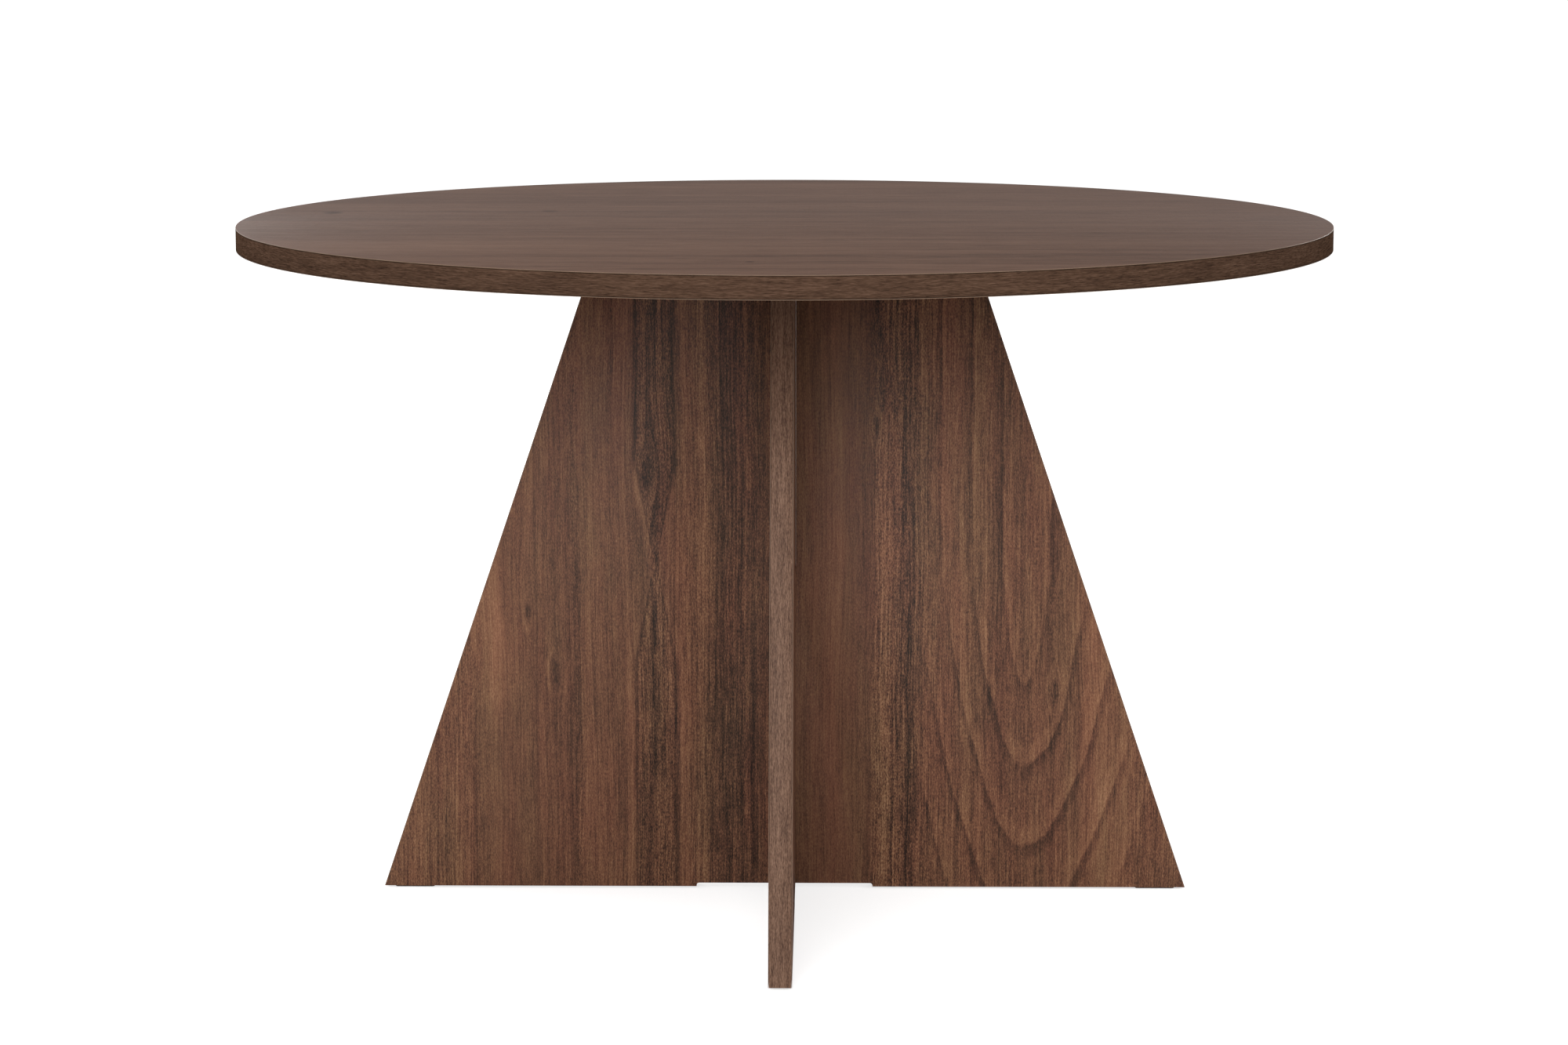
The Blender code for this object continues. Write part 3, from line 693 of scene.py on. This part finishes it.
MIDDLE_VEINS = [
    (-0.149, 0.003, 0.2, 0.15, 0.33),
    (-0.1225, 0.0015, 0.16, 0.0, 0.3),
    (-0.103, 0.011, -0.05, 0.0, 0.26),
    (-0.0985, 0.004, -0.03, 0.3, 0.5),
    (-0.072, 0.0015, 0.07, 0.0, 0.7),
    (-0.0615, 0.0015, 0.06, 0.0, 0.7),
    (-0.05, 0.0018, 0.1, 0.0, 0.7),
    (-0.0365, 0.0015, 0.09, 0.0, 0.7),
    (0.113, 0.004, -0.06, 0.0, 0.55),
    (0.1218, 0.002, 0.12, 0.0, 0.6),
    (0.14, 0.0065, 0.17, 0.0, 0.6),
    (0.2285, 0.003, -0.12, 0.25, 0.6),
    (0.1085, 0.0015, -0.1, 0.1, 0.5),
]
FRONT = panel_finish(
    "walnut_front_leaf",
    "x",
    FRONT_TONES_AND_CORNER_SHADING,
    3.0,
    knots=FRONT_KNOTS,
    veins=END_VEINS + MIDDLE_VEINS,
    waist=(-0.146, 0.377, 0.022),
    arches=(0.272, 0.235, 0.092),
)
# The front tones mirrored for the rear leaf and the deep panel's right leaf. The painted corner shade
# and painted light are mirrored with them.
MIRRORED_TONES_AND_CORNER_SHADING = [(-place, *rest) for place, *rest in reversed(FRONT_TONES_AND_CORNER_SHADING)]
MIRRORED_VEINS = [(-place, *rest) for place, *rest in MIDDLE_VEINS]
REAR = panel_finish(
    "walnut_rear_leaf",
    "x",
    MIRRORED_TONES_AND_CORNER_SHADING,
    31.0,
    knots=[(0.21, 0.41, 0.009), (-0.12, 0.2, 0.006), (0.31, 0.16, 0.005)],
    veins=MIRRORED_VEINS,
    arches=(-0.12, 0.42, 0.08),
)
DEEP_LEFT = panel_finish(
    "walnut_left_leaf",
    "y",
    FRONT_TONES_AND_CORNER_SHADING,
    57.0,
    knots=[(-0.19, 0.45, 0.008), (0.13, 0.24, 0.006), (-0.3, 0.12, 0.006)],
    veins=MIDDLE_VEINS,
    arches=(0.22, 0.36, 0.07),
)
DEEP_RIGHT = panel_finish(
    "walnut_right_leaf",
    "y",
    MIRRORED_TONES_AND_CORNER_SHADING,
    83.0,
    knots=[(0.1, 0.55, 0.006), (-0.3, 0.2, 0.007)],
    veins=MIRRORED_VEINS,
    waist=(0.19, 0.3, 0.02),
    arches=(-0.25, 0.3, 0.074),
)

for side, material, wing in (("front", FRONT, "left"), ("rear", REAR, "right")):
    node = f"wide_panel_veneer_{side}"
    sheet = leaf(f"walnut_leaf_{side}", middle_of(node).y, slot_from_head=True)
    screw_holes(sheet, wing, Vector((0, -1 if side == "front" else 1, 0)))
    smooth(sheet)
    finished(sheet, material, "veneer_panel", node)
for side, material, wing in (("left", DEEP_LEFT, "back"), ("right", DEEP_RIGHT, "front")):
    node = f"deep_panel_veneer_{side}"
    sheet = leaf(f"walnut_leaf_{side}", -middle_of(node).x, slot_from_head=False)
    quarter_turn(sheet)
    screw_holes(sheet, wing, Vector((-1 if side == "left" else 1, 0, 0)))
    smooth(sheet)
    finished(sheet, material, "veneer_panel", node)

# ---------------------------------------------------------------- slanted bands of the panels
# A strip of paler walnut 1 mm thick closes each slanted edge, between the face leaves. Its grain
# runs up the slope.


def slope_band_finish(name, across_name):
    finish = Finish(name, specular=0.1)
    across, height = getattr(finish, across_name), finish.z
    flow = across + (finish.noise(across * 20, height * 6, 1.0, 2.0) - 0.5) * 0.003
    pits = pores(finish, height, flow, 6.0)
    tone = 0.5 + grain(finish, height, flow, 2.0, SLOPE_GRAIN) - pits * 0.12
    wood = finish.ramp(tone, SLOPE_TONES)
    finish.paint(wood, SATIN + pits * 0.15, tone - pits, SLOPE_RELIEF)
    return finish.material


SLOPE_RELIEF = 0.00006
SLOPE_GRAIN = [
    (0.012, 0.4, 0.2),
    (0.004, 0.12, 0.35),
    (0.002, 0.03, 0.7),
    (0.001, 0.008, 1.0),
    (0.0012, 0.003, 0.8),
]
SLOPE_TONES = [
    (0.2, (0.06, 0.0307, 0.0202)),
    (0.5, (0.125, 0.0682, 0.0442)),
    (0.8, (0.19, 0.1104, 0.0736)),
]
SLOPE_BANDS = {
    "wide": slope_band_finish("walnut_wide_panel_band", "y"),
    "deep": slope_band_finish("walnut_deep_panel_band", "x"),
}
SLOPE_ANGLE = atan2(FOOT - NECK, WIDE_HIGH[2] - WIDE_LOW[2])
BAND_REACH = BAND_THICKNESS / cos(SLOPE_ANGLE)  # its thickness, measured level
STRIP_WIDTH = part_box("wide_panel_band_right")[1][1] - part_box("wide_panel_band_right")[0][1]

for wing, turn in zip(WINGS, (0, pi / 2, pi, -pi / 2)):
    panel = "wide" if wing in ("right", "left") else "deep"
    low, high = WIDE_LOW[2], WIDE_HIGH[2]
    bpy.ops.object.select_all(action="DESELECT")
    bpy.ops.mesh.primitive_cube_add(size=1, location=(FOOT - BAND_REACH / 2, 0, (low + high) / 2))
    bpy.context.object.scale = (BAND_REACH, STRIP_WIDTH, high - low)
    strip = start_on(f"walnut_band_{wing}")
    pick(strip, lambda ends: all(end.z > 0.5 for end in ends))
    bpy.ops.transform.translate(value=(NECK - FOOT, 0, 0))
    done_editing()
    modify(strip, "BEVEL", width=ARRIS / 2, segments=2, limit_method="ANGLE")
    strip.rotation_euler = (0, 0, turn)
    alone(strip)
    bpy.ops.object.transform_apply(location=True, rotation=True, scale=True)
    smooth(strip)
    finished(strip, SLOPE_BANDS[panel], "veneer_band", f"{panel}_panel_band_{wing}")

# ---------------------------------------------------------------- floor pads
# A self-adhesive strip of brown wool felt under each end of the panels, cut with rounded
# corners. The weight of the table makes its sides bulge a little.
PAD_LOW, PAD_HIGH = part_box("floor_pad_right")
PAD_CORNER = 0.003
PAD_BULGE = 0.0004
PAD_EDGE = 0.0002
PAD_LEVELS = ((0.25, 0.7), (0.5, 1.0), (0.75, 0.7))  # share of the height, share of the bulge
FELT_DARK = (0.05, 0.04, 0.033)
FELT_PALE = (0.16, 0.13, 0.105)
FIBRE = 0.0003  # thickness of a wool fibre, and how far the fibres stand out


def felt_finish():
    finish = Finish("wool_felt", specular=0.0)
    fibres = 0.0
    for number, (long_x, long_y) in enumerate(((5, 1), (1, 5), (3, 3))):
        x, y = finish.x / (FIBRE * long_x), finish.y / (FIBRE * long_y)
        z = finish.z / FIBRE
        fibres = finish.noise(x + number * 7, y, z, 2.0) / 3 + fibres
    clumps = finish.noise(finish.x * 250, finish.y * 250, finish.z * 250, 2.0)
    shade = finish.ease(fibres * 0.7 + clumps * 0.3, 0.35, 0.65)
    finish.paint(finish.blend(shade, FELT_DARK, FELT_PALE), 0.95, fibres, FIBRE)
    return finish.material


def copy_of(piece, name, place):
    """A copy with its own mesh, put in its place by a matrix."""
    twin = piece.copy()
    twin.data = piece.data.copy()
    twin.name = twin.data.name = name
    bpy.context.scene.collection.objects.link(twin)
    twin.data.transform(place)
    return twin


def wing_turn(wing):
    """Turns a piece made on the right wing onto another wing."""
    return Matrix.Rotation(WINGS.index(wing) * pi / 2, 4, "Z")


pad_size = Vector(PAD_HIGH) - Vector(PAD_LOW)
pad_middle = (Vector(PAD_LOW) + Vector(PAD_HIGH)) / 2
bpy.ops.object.select_all(action="DESELECT")
bpy.ops.mesh.primitive_cube_add(size=1, location=pad_middle)
bpy.context.object.scale = pad_size - Vector((PAD_BULGE, PAD_BULGE, 0))
pad = start_on("felt_pad")
pick(pad, lambda ends: abs(ends[0].z - ends[1].z) > 0.001)
bpy.ops.mesh.bevel(offset=PAD_CORNER, segments=8)
for height, bulge in PAD_LEVELS:
    bpy.ops.mesh.select_all(action="SELECT")
    bpy.ops.mesh.bisect(plane_co=(0, 0, pad_size.z * height), plane_no=UP)
done_editing()
for height, bulge in PAD_LEVELS:
    level = pad_size.z * height
    pick(pad, lambda ends: abs(ends[0].z - level) < CLOSE, "VERT")
    stretch = [1 + PAD_BULGE * bulge / (side - PAD_BULGE) for side in pad_size[:2]]
    bpy.ops.transform.resize(value=(*stretch, 1), center_override=pad_middle)
    done_editing()
modify(pad, "BEVEL", width=PAD_EDGE, segments=2, limit_method="ANGLE", angle_limit=radians(50))
smooth(pad, 50)
FELT = felt_finish()
for wing in WINGS:
    twin = copy_of(pad, f"felt_pad_{wing}", wing_turn(wing))
    finished(twin, FELT, "felt", f"floor_pad_{wing}")
bpy.data.objects.remove(pad)

# ---------------------------------------------------------------- dowels
# One fluted beech dowel in each wing lines the top up with the panels. It is turned with
# chamfered ends, and its flutes let the glue and the air out.
FLUTES = 20
FLUTE_DEPTH = 0.07  # as a share of the radius
DOWEL_CHAMFER = 0.0008
BEECH_DARK = (0.44, 0.27, 0.15)
BEECH_PALE = (0.62, 0.42, 0.26)
BEECH_GRAIN = [(0.0015, 0.03, 0.8), (0.0005, 0.006, 0.7)]
BEECH_RAY = (0.0012, 0.0002)  # length and width of the flecks that beech has
BEECH_RELIEF = 0.00003


def beech_finish():
    finish = Finish("beech", specular=0.15)
    across = finish.x + finish.y
    streaks = grain(finish, finish.z, across, 2.0, BEECH_GRAIN)
    rays = finish.noise(finish.z / BEECH_RAY[0], across / BEECH_RAY[1], 8.0)
    rays = finish.ease(rays, 0.6, 0.7)
    colour = finish.blend(0.6 + streaks - rays * 0.5, BEECH_DARK, BEECH_PALE)
    finish.paint(colour, 0.65 + streaks * 0.2, streaks, BEECH_RELIEF)
    return finish.material


def turned(name, profile, steps=32, closed=False):
    """A piece turned about the Z axis, from (radius, height) points along its outside."""
    bpy.ops.object.select_all(action="DESELECT")
    bpy.ops.mesh.primitive_plane_add(size=0.001)
    piece = start_on(name)
    bpy.ops.object.mode_set(mode="EDIT")
    bpy.ops.mesh.select_mode(type="VERT")
    bpy.ops.mesh.select_all(action="SELECT")
    bpy.ops.mesh.merge(type="CENTER")
    bpy.ops.transform.translate(value=(profile[0][0], 0, profile[0][1]))
    path = [*profile, profile[0]] if closed else profile
    for (radius, height), (next_radius, next_height) in zip(path, path[1:]):
        step = (next_radius - radius, 0, next_height - height)
        bpy.ops.mesh.extrude_vertices_move(TRANSFORM_OT_translate={"value": step})
    bpy.ops.mesh.select_all(action="SELECT")
    bpy.ops.mesh.spin(steps=steps, angle=2 * pi, center=(0, 0, 0), axis=(0, 0, 1))
    bpy.ops.mesh.select_all(action="SELECT")
    bpy.ops.mesh.remove_doubles(threshold=0.000001)
    bpy.ops.mesh.normals_make_consistent(inside=False)
    done_editing()
    return piece


DOWEL_LOW, DOWEL_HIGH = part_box("dowel_right")
radius = (DOWEL_HIGH[1] - DOWEL_LOW[1]) / 2
tip = radius - DOWEL_CHAMFER
dowel = turned(
    "dowel",
    [
        (0, DOWEL_HIGH[2]),
        (tip, DOWEL_HIGH[2]),
        (radius, DOWEL_HIGH[2] - DOWEL_CHAMFER),
        (radius, DOWEL_LOW[2] + DOWEL_CHAMFER),
        (tip, DOWEL_LOW[2]),
        (0, DOWEL_LOW[2]),
    ],
    steps=FLUTES * 2,
)


def in_a_flute(ends):
    on_side = Vector(ends[0].xy).length > radius - CLOSE
    return on_side and round(atan2(ends[0].y, ends[0].x) / pi * FLUTES) % 2 == 1


pick(dowel, in_a_flute, "VERT")
bpy.ops.transform.resize(
    value=(1 - FLUTE_DEPTH, 1 - FLUTE_DEPTH, 1), center_override=(0, 0, DOWEL_HIGH[2])
)
done_editing()
smooth(dowel, 25)
BEECH = beech_finish()
for wing in WINGS:
    place = middle_of(f"dowel_{wing}")
    twin = copy_of(dowel, f"beech_dowel_{wing}", Matrix.Translation((place.x, place.y, 0)))
    finished(twin, BEECH, "beech", f"dowel_{wing}")
bpy.data.objects.remove(dowel)

# ---------------------------------------------------------------- inserts
# Threaded sleeves of die-cast zinc, screwed into the fibreboard of the top and the panels.
# A coarse thread outside bites the board, and M6 screws go into the bore.
INSERT_RADIUS = 0.005
INSERT_LENGTH = 0.013
BORE_RADIUS = 0.0033
COARSE_PITCH = 0.0022
COARSE_DEPTH = 0.0007
COARSE_FLANKS = (0.0003, 0.0008, 0.0002)  # where a turn's root starts and ends, and its crest
FLANGE = 0.0012  # thickness of the plain ring at the mouth


def metal_finish(name, colour, roughness, grit, metallic=1.0, specular=0.5):
    """Metal or a coat on metal, with fine grit in its surface and soft clouds in its sheen."""
    finish = Finish(name, specular=specular, metallic=metallic)
    x, y, z = finish.x / grit, finish.y / grit, finish.z / grit
    fine = finish.noise(x, y, z, 2.0)
    clouds = finish.noise(finish.x * 90, finish.y * 90, finish.z * 90, 3.0)
    shade = finish.ease(clouds * 0.6 + fine * 0.4, 0.3, 0.7)
    darker = tuple(part * 0.8 for part in colour)
    finish.paint(finish.blend(shade, darker, colour), roughness + clouds * 0.15, fine, grit * 0.08)
    return finish.material


def copies_at(master, kind, finish_slot, material, off_face):
    """A copy of a fixing at each place of its kind; off_face is how far out its origin stands."""
    for board in ("top", "panel"):
        for wing in WINGS:
            for number in (1, 2):
                node = f"{board}_{kind}_{wing}_{number}"
                mouth = middle_of(f"{board}_insert_{wing}_{number}")
                out = Vector((0, 0, -1))
                if board == "panel":
                    out = wing_turn(wing).to_3x3() @ Vector((0, 1, 0))
                turn = UP.rotation_difference(out).to_matrix().to_4x4()
                move = Matrix.Translation(mouth + out * off_face)
                twin = copy_of(master, f"{kind}_{board}_{wing}_{number}", move @ turn)
                finished(twin, material, finish_slot, node)
    bpy.data.objects.remove(master)


profile = [(BORE_RADIUS, 0), (INSERT_RADIUS, 0), (INSERT_RADIUS, -FLANGE)]
turns = int((INSERT_LENGTH - FLANGE) / COARSE_PITCH)
for turn in range(turns):
    down = -FLANGE - turn * COARSE_PITCH
    profile += [
        (INSERT_RADIUS - COARSE_DEPTH, down - COARSE_FLANKS[0]),
        (INSERT_RADIUS - COARSE_DEPTH, down - COARSE_PITCH + COARSE_FLANKS[1]),
        (INSERT_RADIUS, down - COARSE_PITCH + COARSE_FLANKS[2]),
    ]
profile += [(INSERT_RADIUS - COARSE_DEPTH, -INSERT_LENGTH), (BORE_RADIUS, -INSERT_LENGTH)]
insert = turned("insert", profile, closed=True)
smooth(insert, 30)
DIE_CAST = metal_finish("die_cast_zinc", (0.5, 0.5, 0.49), 0.4, 0.0003)
copies_at(insert, "insert", "zinc", DIE_CAST, INSERT_LENGTH / 2)

# ---------------------------------------------------------------- brackets
# A folded angle of 2.5 mm steel in each corner of the cross, one leg on the panel and one under
# the top. It is punched with four holes, its corners are rounded, and it is powder coated black.
BRACKET_LOW, BRACKET_HIGH = (Vector(corner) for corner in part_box("bracket_right"))
SHEET = 0.0025  # its thickness
FOLD_RADIUS = 0.0055  # outside
BRACKET_CORNER = 0.006
BRACKET_HOLE = 0.0035  # radius
PUNCHED_EDGE = 0.0003  # how far its edges are rounded
bracket_size = BRACKET_HIGH - BRACKET_LOW
bracket_middle = (BRACKET_HIGH + BRACKET_LOW) / 2

bpy.ops.object.select_all(action="DESELECT")
bpy.ops.mesh.primitive_plane_add(
    size=1, rotation=(pi / 2, 0, 0), location=(bracket_middle.x, BRACKET_LOW.y, bracket_middle.z)
)
bpy.context.object.scale = (bracket_size.x, bracket_size.z, 1)
angle = start_on("angle_bracket")
pick(angle, lambda ends: all(end.z > bracket_middle.z for end in ends))
bpy.ops.mesh.extrude_region_move(TRANSFORM_OT_translate={"value": (0, bracket_size.y, 0)})
done_editing()


def on_the_fold(ends):
    return all(abs(end.y - BRACKET_LOW.y) < CLOSE and end.z > bracket_middle.z for end in ends)


def at_a_tip(ends):
    return ends[0].y > bracket_middle.y or ends[0].z < bracket_middle.z


pick(angle, on_the_fold)
bpy.ops.mesh.bevel(offset=FOLD_RADIUS, segments=10)
done_editing()
pick(angle, at_a_tip, "VERT")
bpy.ops.mesh.bevel(offset=BRACKET_CORNER, segments=8, affect="VERTICES")
bpy.ops.mesh.select_all(action="SELECT")
bpy.ops.mesh.normals_make_consistent(inside=False)
done_editing()
outward = angle.data.polygons[0].normal.dot(Vector((0, -1, 1)))
modify(angle, "SOLIDIFY", thickness=SHEET, offset=-1 if outward > 0 else 1)
top_screws = [middle_of(f"top_screw_right_{n}") for n in (1, 2)]
panel_screws = [middle_of(f"panel_screw_right_{n}") for n in (1, 2)]
level = [(screw.x, screw.y, BRACKET_HIGH.z) for screw in top_screws]
upright = [(screw.x, BRACKET_LOW.y, screw.z) for screw in panel_screws]
drill(angle, level, UP, BRACKET_HOLE, SHEET * 4)
drill(angle, upright, Vector((0, 1, 0)), BRACKET_HOLE, SHEET * 4)
modify(
    angle, "BEVEL", width=PUNCHED_EDGE, segments=2, limit_method="ANGLE", angle_limit=radians(40)
)
smooth(angle)
POWDER_COAT = metal_finish("black_powder_coat", (0.022, 0.022, 0.024), 0.42, 0.0005, 0.0, 0.4)
for wing in WINGS:
    twin = copy_of(angle, f"angle_bracket_{wing}", wing_turn(wing))
    finished(twin, POWDER_COAT, "black_steel", f"bracket_{wing}")
bpy.data.objects.remove(angle)

# ---------------------------------------------------------------- screws
# Zinc-plated M6 button-head screws hold the brackets to the top and the panels. The domed head
# has a hexagon socket for a 4 mm key, and the shank is threaded up to the head.
HEAD_RADIUS = 0.00525
HEAD_HEIGHT = 0.0033
HEAD_RIM = 0.0008
SCREW_RADIUS = 0.003
SCREW_LENGTH = 0.0144
THREAD_PITCH = 0.001
THREAD_DEPTH = 0.0006
KEY_ACROSS_FLATS = 0.004
KEY_DEPTH = 0.002
HEAD_EDGE = 0.0001
HEAD_OFF_BOARD = 0.0031  # the bracket's sheet, with a gap of 0.3 mm on each side of it
MOUTH_GAP = 0.0003  # from an insert's mouth to the face of its board

dome = [radians(angle) for angle in (0, 15, 30, 45, 58, 70, 80, 90)]
profile = [
    (HEAD_RADIUS * sin(angle), HEAD_RIM + (HEAD_HEIGHT - HEAD_RIM) * cos(angle)) for angle in dome
]
profile += [(HEAD_RADIUS, HEAD_EDGE), (HEAD_RADIUS - HEAD_EDGE, 0), (SCREW_RADIUS, 0)]
for turn in range(int(SCREW_LENGTH / THREAD_PITCH) - 1):
    down = -THREAD_PITCH * (turn + 0.5)
    profile += [(SCREW_RADIUS - THREAD_DEPTH, down), (SCREW_RADIUS, down - THREAD_PITCH / 2)]
profile += [(SCREW_RADIUS - THREAD_DEPTH, -SCREW_LENGTH), (0, -SCREW_LENGTH)]
screw = turned("screw", profile)
key_radius = KEY_ACROSS_FLATS / 2 / cos(pi / 6)
drill(screw, [(0, 0, HEAD_HEIGHT)], UP, key_radius, KEY_DEPTH * 2, sides=6)
smooth(screw, 40)
ZINC_PLATE = metal_finish("zinc_plate", (0.62, 0.62, 0.6), 0.28, 0.0002)
head_off_insert = INSERT_LENGTH / 2 + MOUTH_GAP + HEAD_OFF_BOARD
copies_at(screw, "screw", "zinc", ZINC_PLATE, head_off_insert)

# ---------------------------------------------------------------- studio
# A wide white floor, a pale dome that is dim near the horizon, and six soft lights: one large
# one in front, one to the right, the left and the rear, and two low ones behind, whose sheen
# brightens both ends of the top. The floor also glows by itself, which lights only the floor.
FLOOR_SIZE = 160
FLOOR_DROP = 0.0005  # keeps the floor clear of the pads' undersides
FLOOR_GREY = (0.6, 0.6, 0.6)
FLOOR_GLOW = 0.68
HORIZON_GLOW = 0.04
OVERHEAD_GLOW = 0.94
LENS_LENGTH = 98.83
SENSOR_WIDTH = 36.0
CAMERA_PLACE = (0.05086, -4.80905, 1.1766)
CAMERA_DOWN = 8.9276  # degrees below level
CAMERA_LEFT = 0.6138  # degrees to the left of straight ahead

bpy.ops.object.select_all(action="DESELECT")
bpy.ops.mesh.primitive_plane_add(size=FLOOR_SIZE, location=(0, 0, -FLOOR_DROP))
floor = start_on("studio_floor")
floor_paint = Finish("floor_paint", specular=0.0)
floor_paint.paint(FLOOR_GREY, 0.9)
floor_paint.shader.inputs["Emission Color"].default_value = (1, 1, 1, 1)
floor_paint.shader.inputs["Emission Strength"].default_value = FLOOR_GLOW
floor.data.materials.append(floor_paint.material)
lit_by_the_floor = bpy.data.collections.new("lit_by_the_floor")
lit_by_the_floor.objects.link(floor)
floor.light_linking.receiver_collection = lit_by_the_floor

world = bpy.data.worlds.new("studio_dome")
bpy.context.scene.world = world
world.use_nodes = True
sky = world.node_tree
direction = sky.nodes.new("ShaderNodeTexCoord")
split = sky.nodes.new("ShaderNodeSeparateXYZ")
sky.links.new(direction.outputs["Generated"], split.inputs[0])
sky.nodes["Background"].inputs["Color"].default_value = (1, 1, 1, 1)
climb = sky.nodes.new("ShaderNodeMapRange")
climb.inputs["From Min"].default_value = 0.0
climb.inputs["From Max"].default_value = 1.0
climb.inputs["To Min"].default_value = HORIZON_GLOW
climb.inputs["To Max"].default_value = OVERHEAD_GLOW
sky.links.new(split.outputs["Z"], climb.inputs["Value"])
sky.links.new(climb.outputs[0], sky.nodes["Background"].inputs["Strength"])


def soft_light(name, place, target, size, power):
    """A rectangular lamp that points at target, with its width and height in metres."""
    data = bpy.data.lights.new(name, "AREA")
    data.shape = "RECTANGLE"
    data.size, data.size_y = size
    data.energy = power
    light = bpy.data.objects.new(name, data)
    bpy.context.scene.collection.objects.link(light)
    light.visible_camera = False
    light.location = place
    light.rotation_euler = (Vector(target) - Vector(place)).to_track_quat("-Z", "Y").to_euler()


soft_light("front_softbox", (-0.65, -4.5, 2.1), (0, 0, 0.4), (2.4, 2.2), 162)
soft_light("right_softbox", (4.2, -3.5, 2.6), (0, 0, 0.5), (2.0, 2.5), 85)
soft_light("left_softbox", (-5.2, 0.6, 2.8), (0, 0, 0.5), (2.5, 2.5), 90)
soft_light("back_softbox", (-4.5, 5.5, 3.2), (0, 0, 0.5), (2.5, 2.5), 140)
soft_light("left_sheen", (-3.3, 4.5, 1.4), (-0.5, 0, 0.75), (3.5, 1.2), 95)
soft_light("right_sheen", (3.4, 4.5, 1.4), (0.5, 0, 0.75), (3.0, 1.2), 170)

lens = bpy.data.cameras.new("camera")
lens.lens = LENS_LENGTH
lens.sensor_width = SENSOR_WIDTH
camera = bpy.data.objects.new("camera", lens)
bpy.context.scene.collection.objects.link(camera)
camera.location = CAMERA_PLACE
camera.rotation_euler = (radians(90 - CAMERA_DOWN), 0, radians(CAMERA_LEFT))
bpy.context.scene.camera = camera
bpy.context.scene.view_settings.view_transform = "Standard"
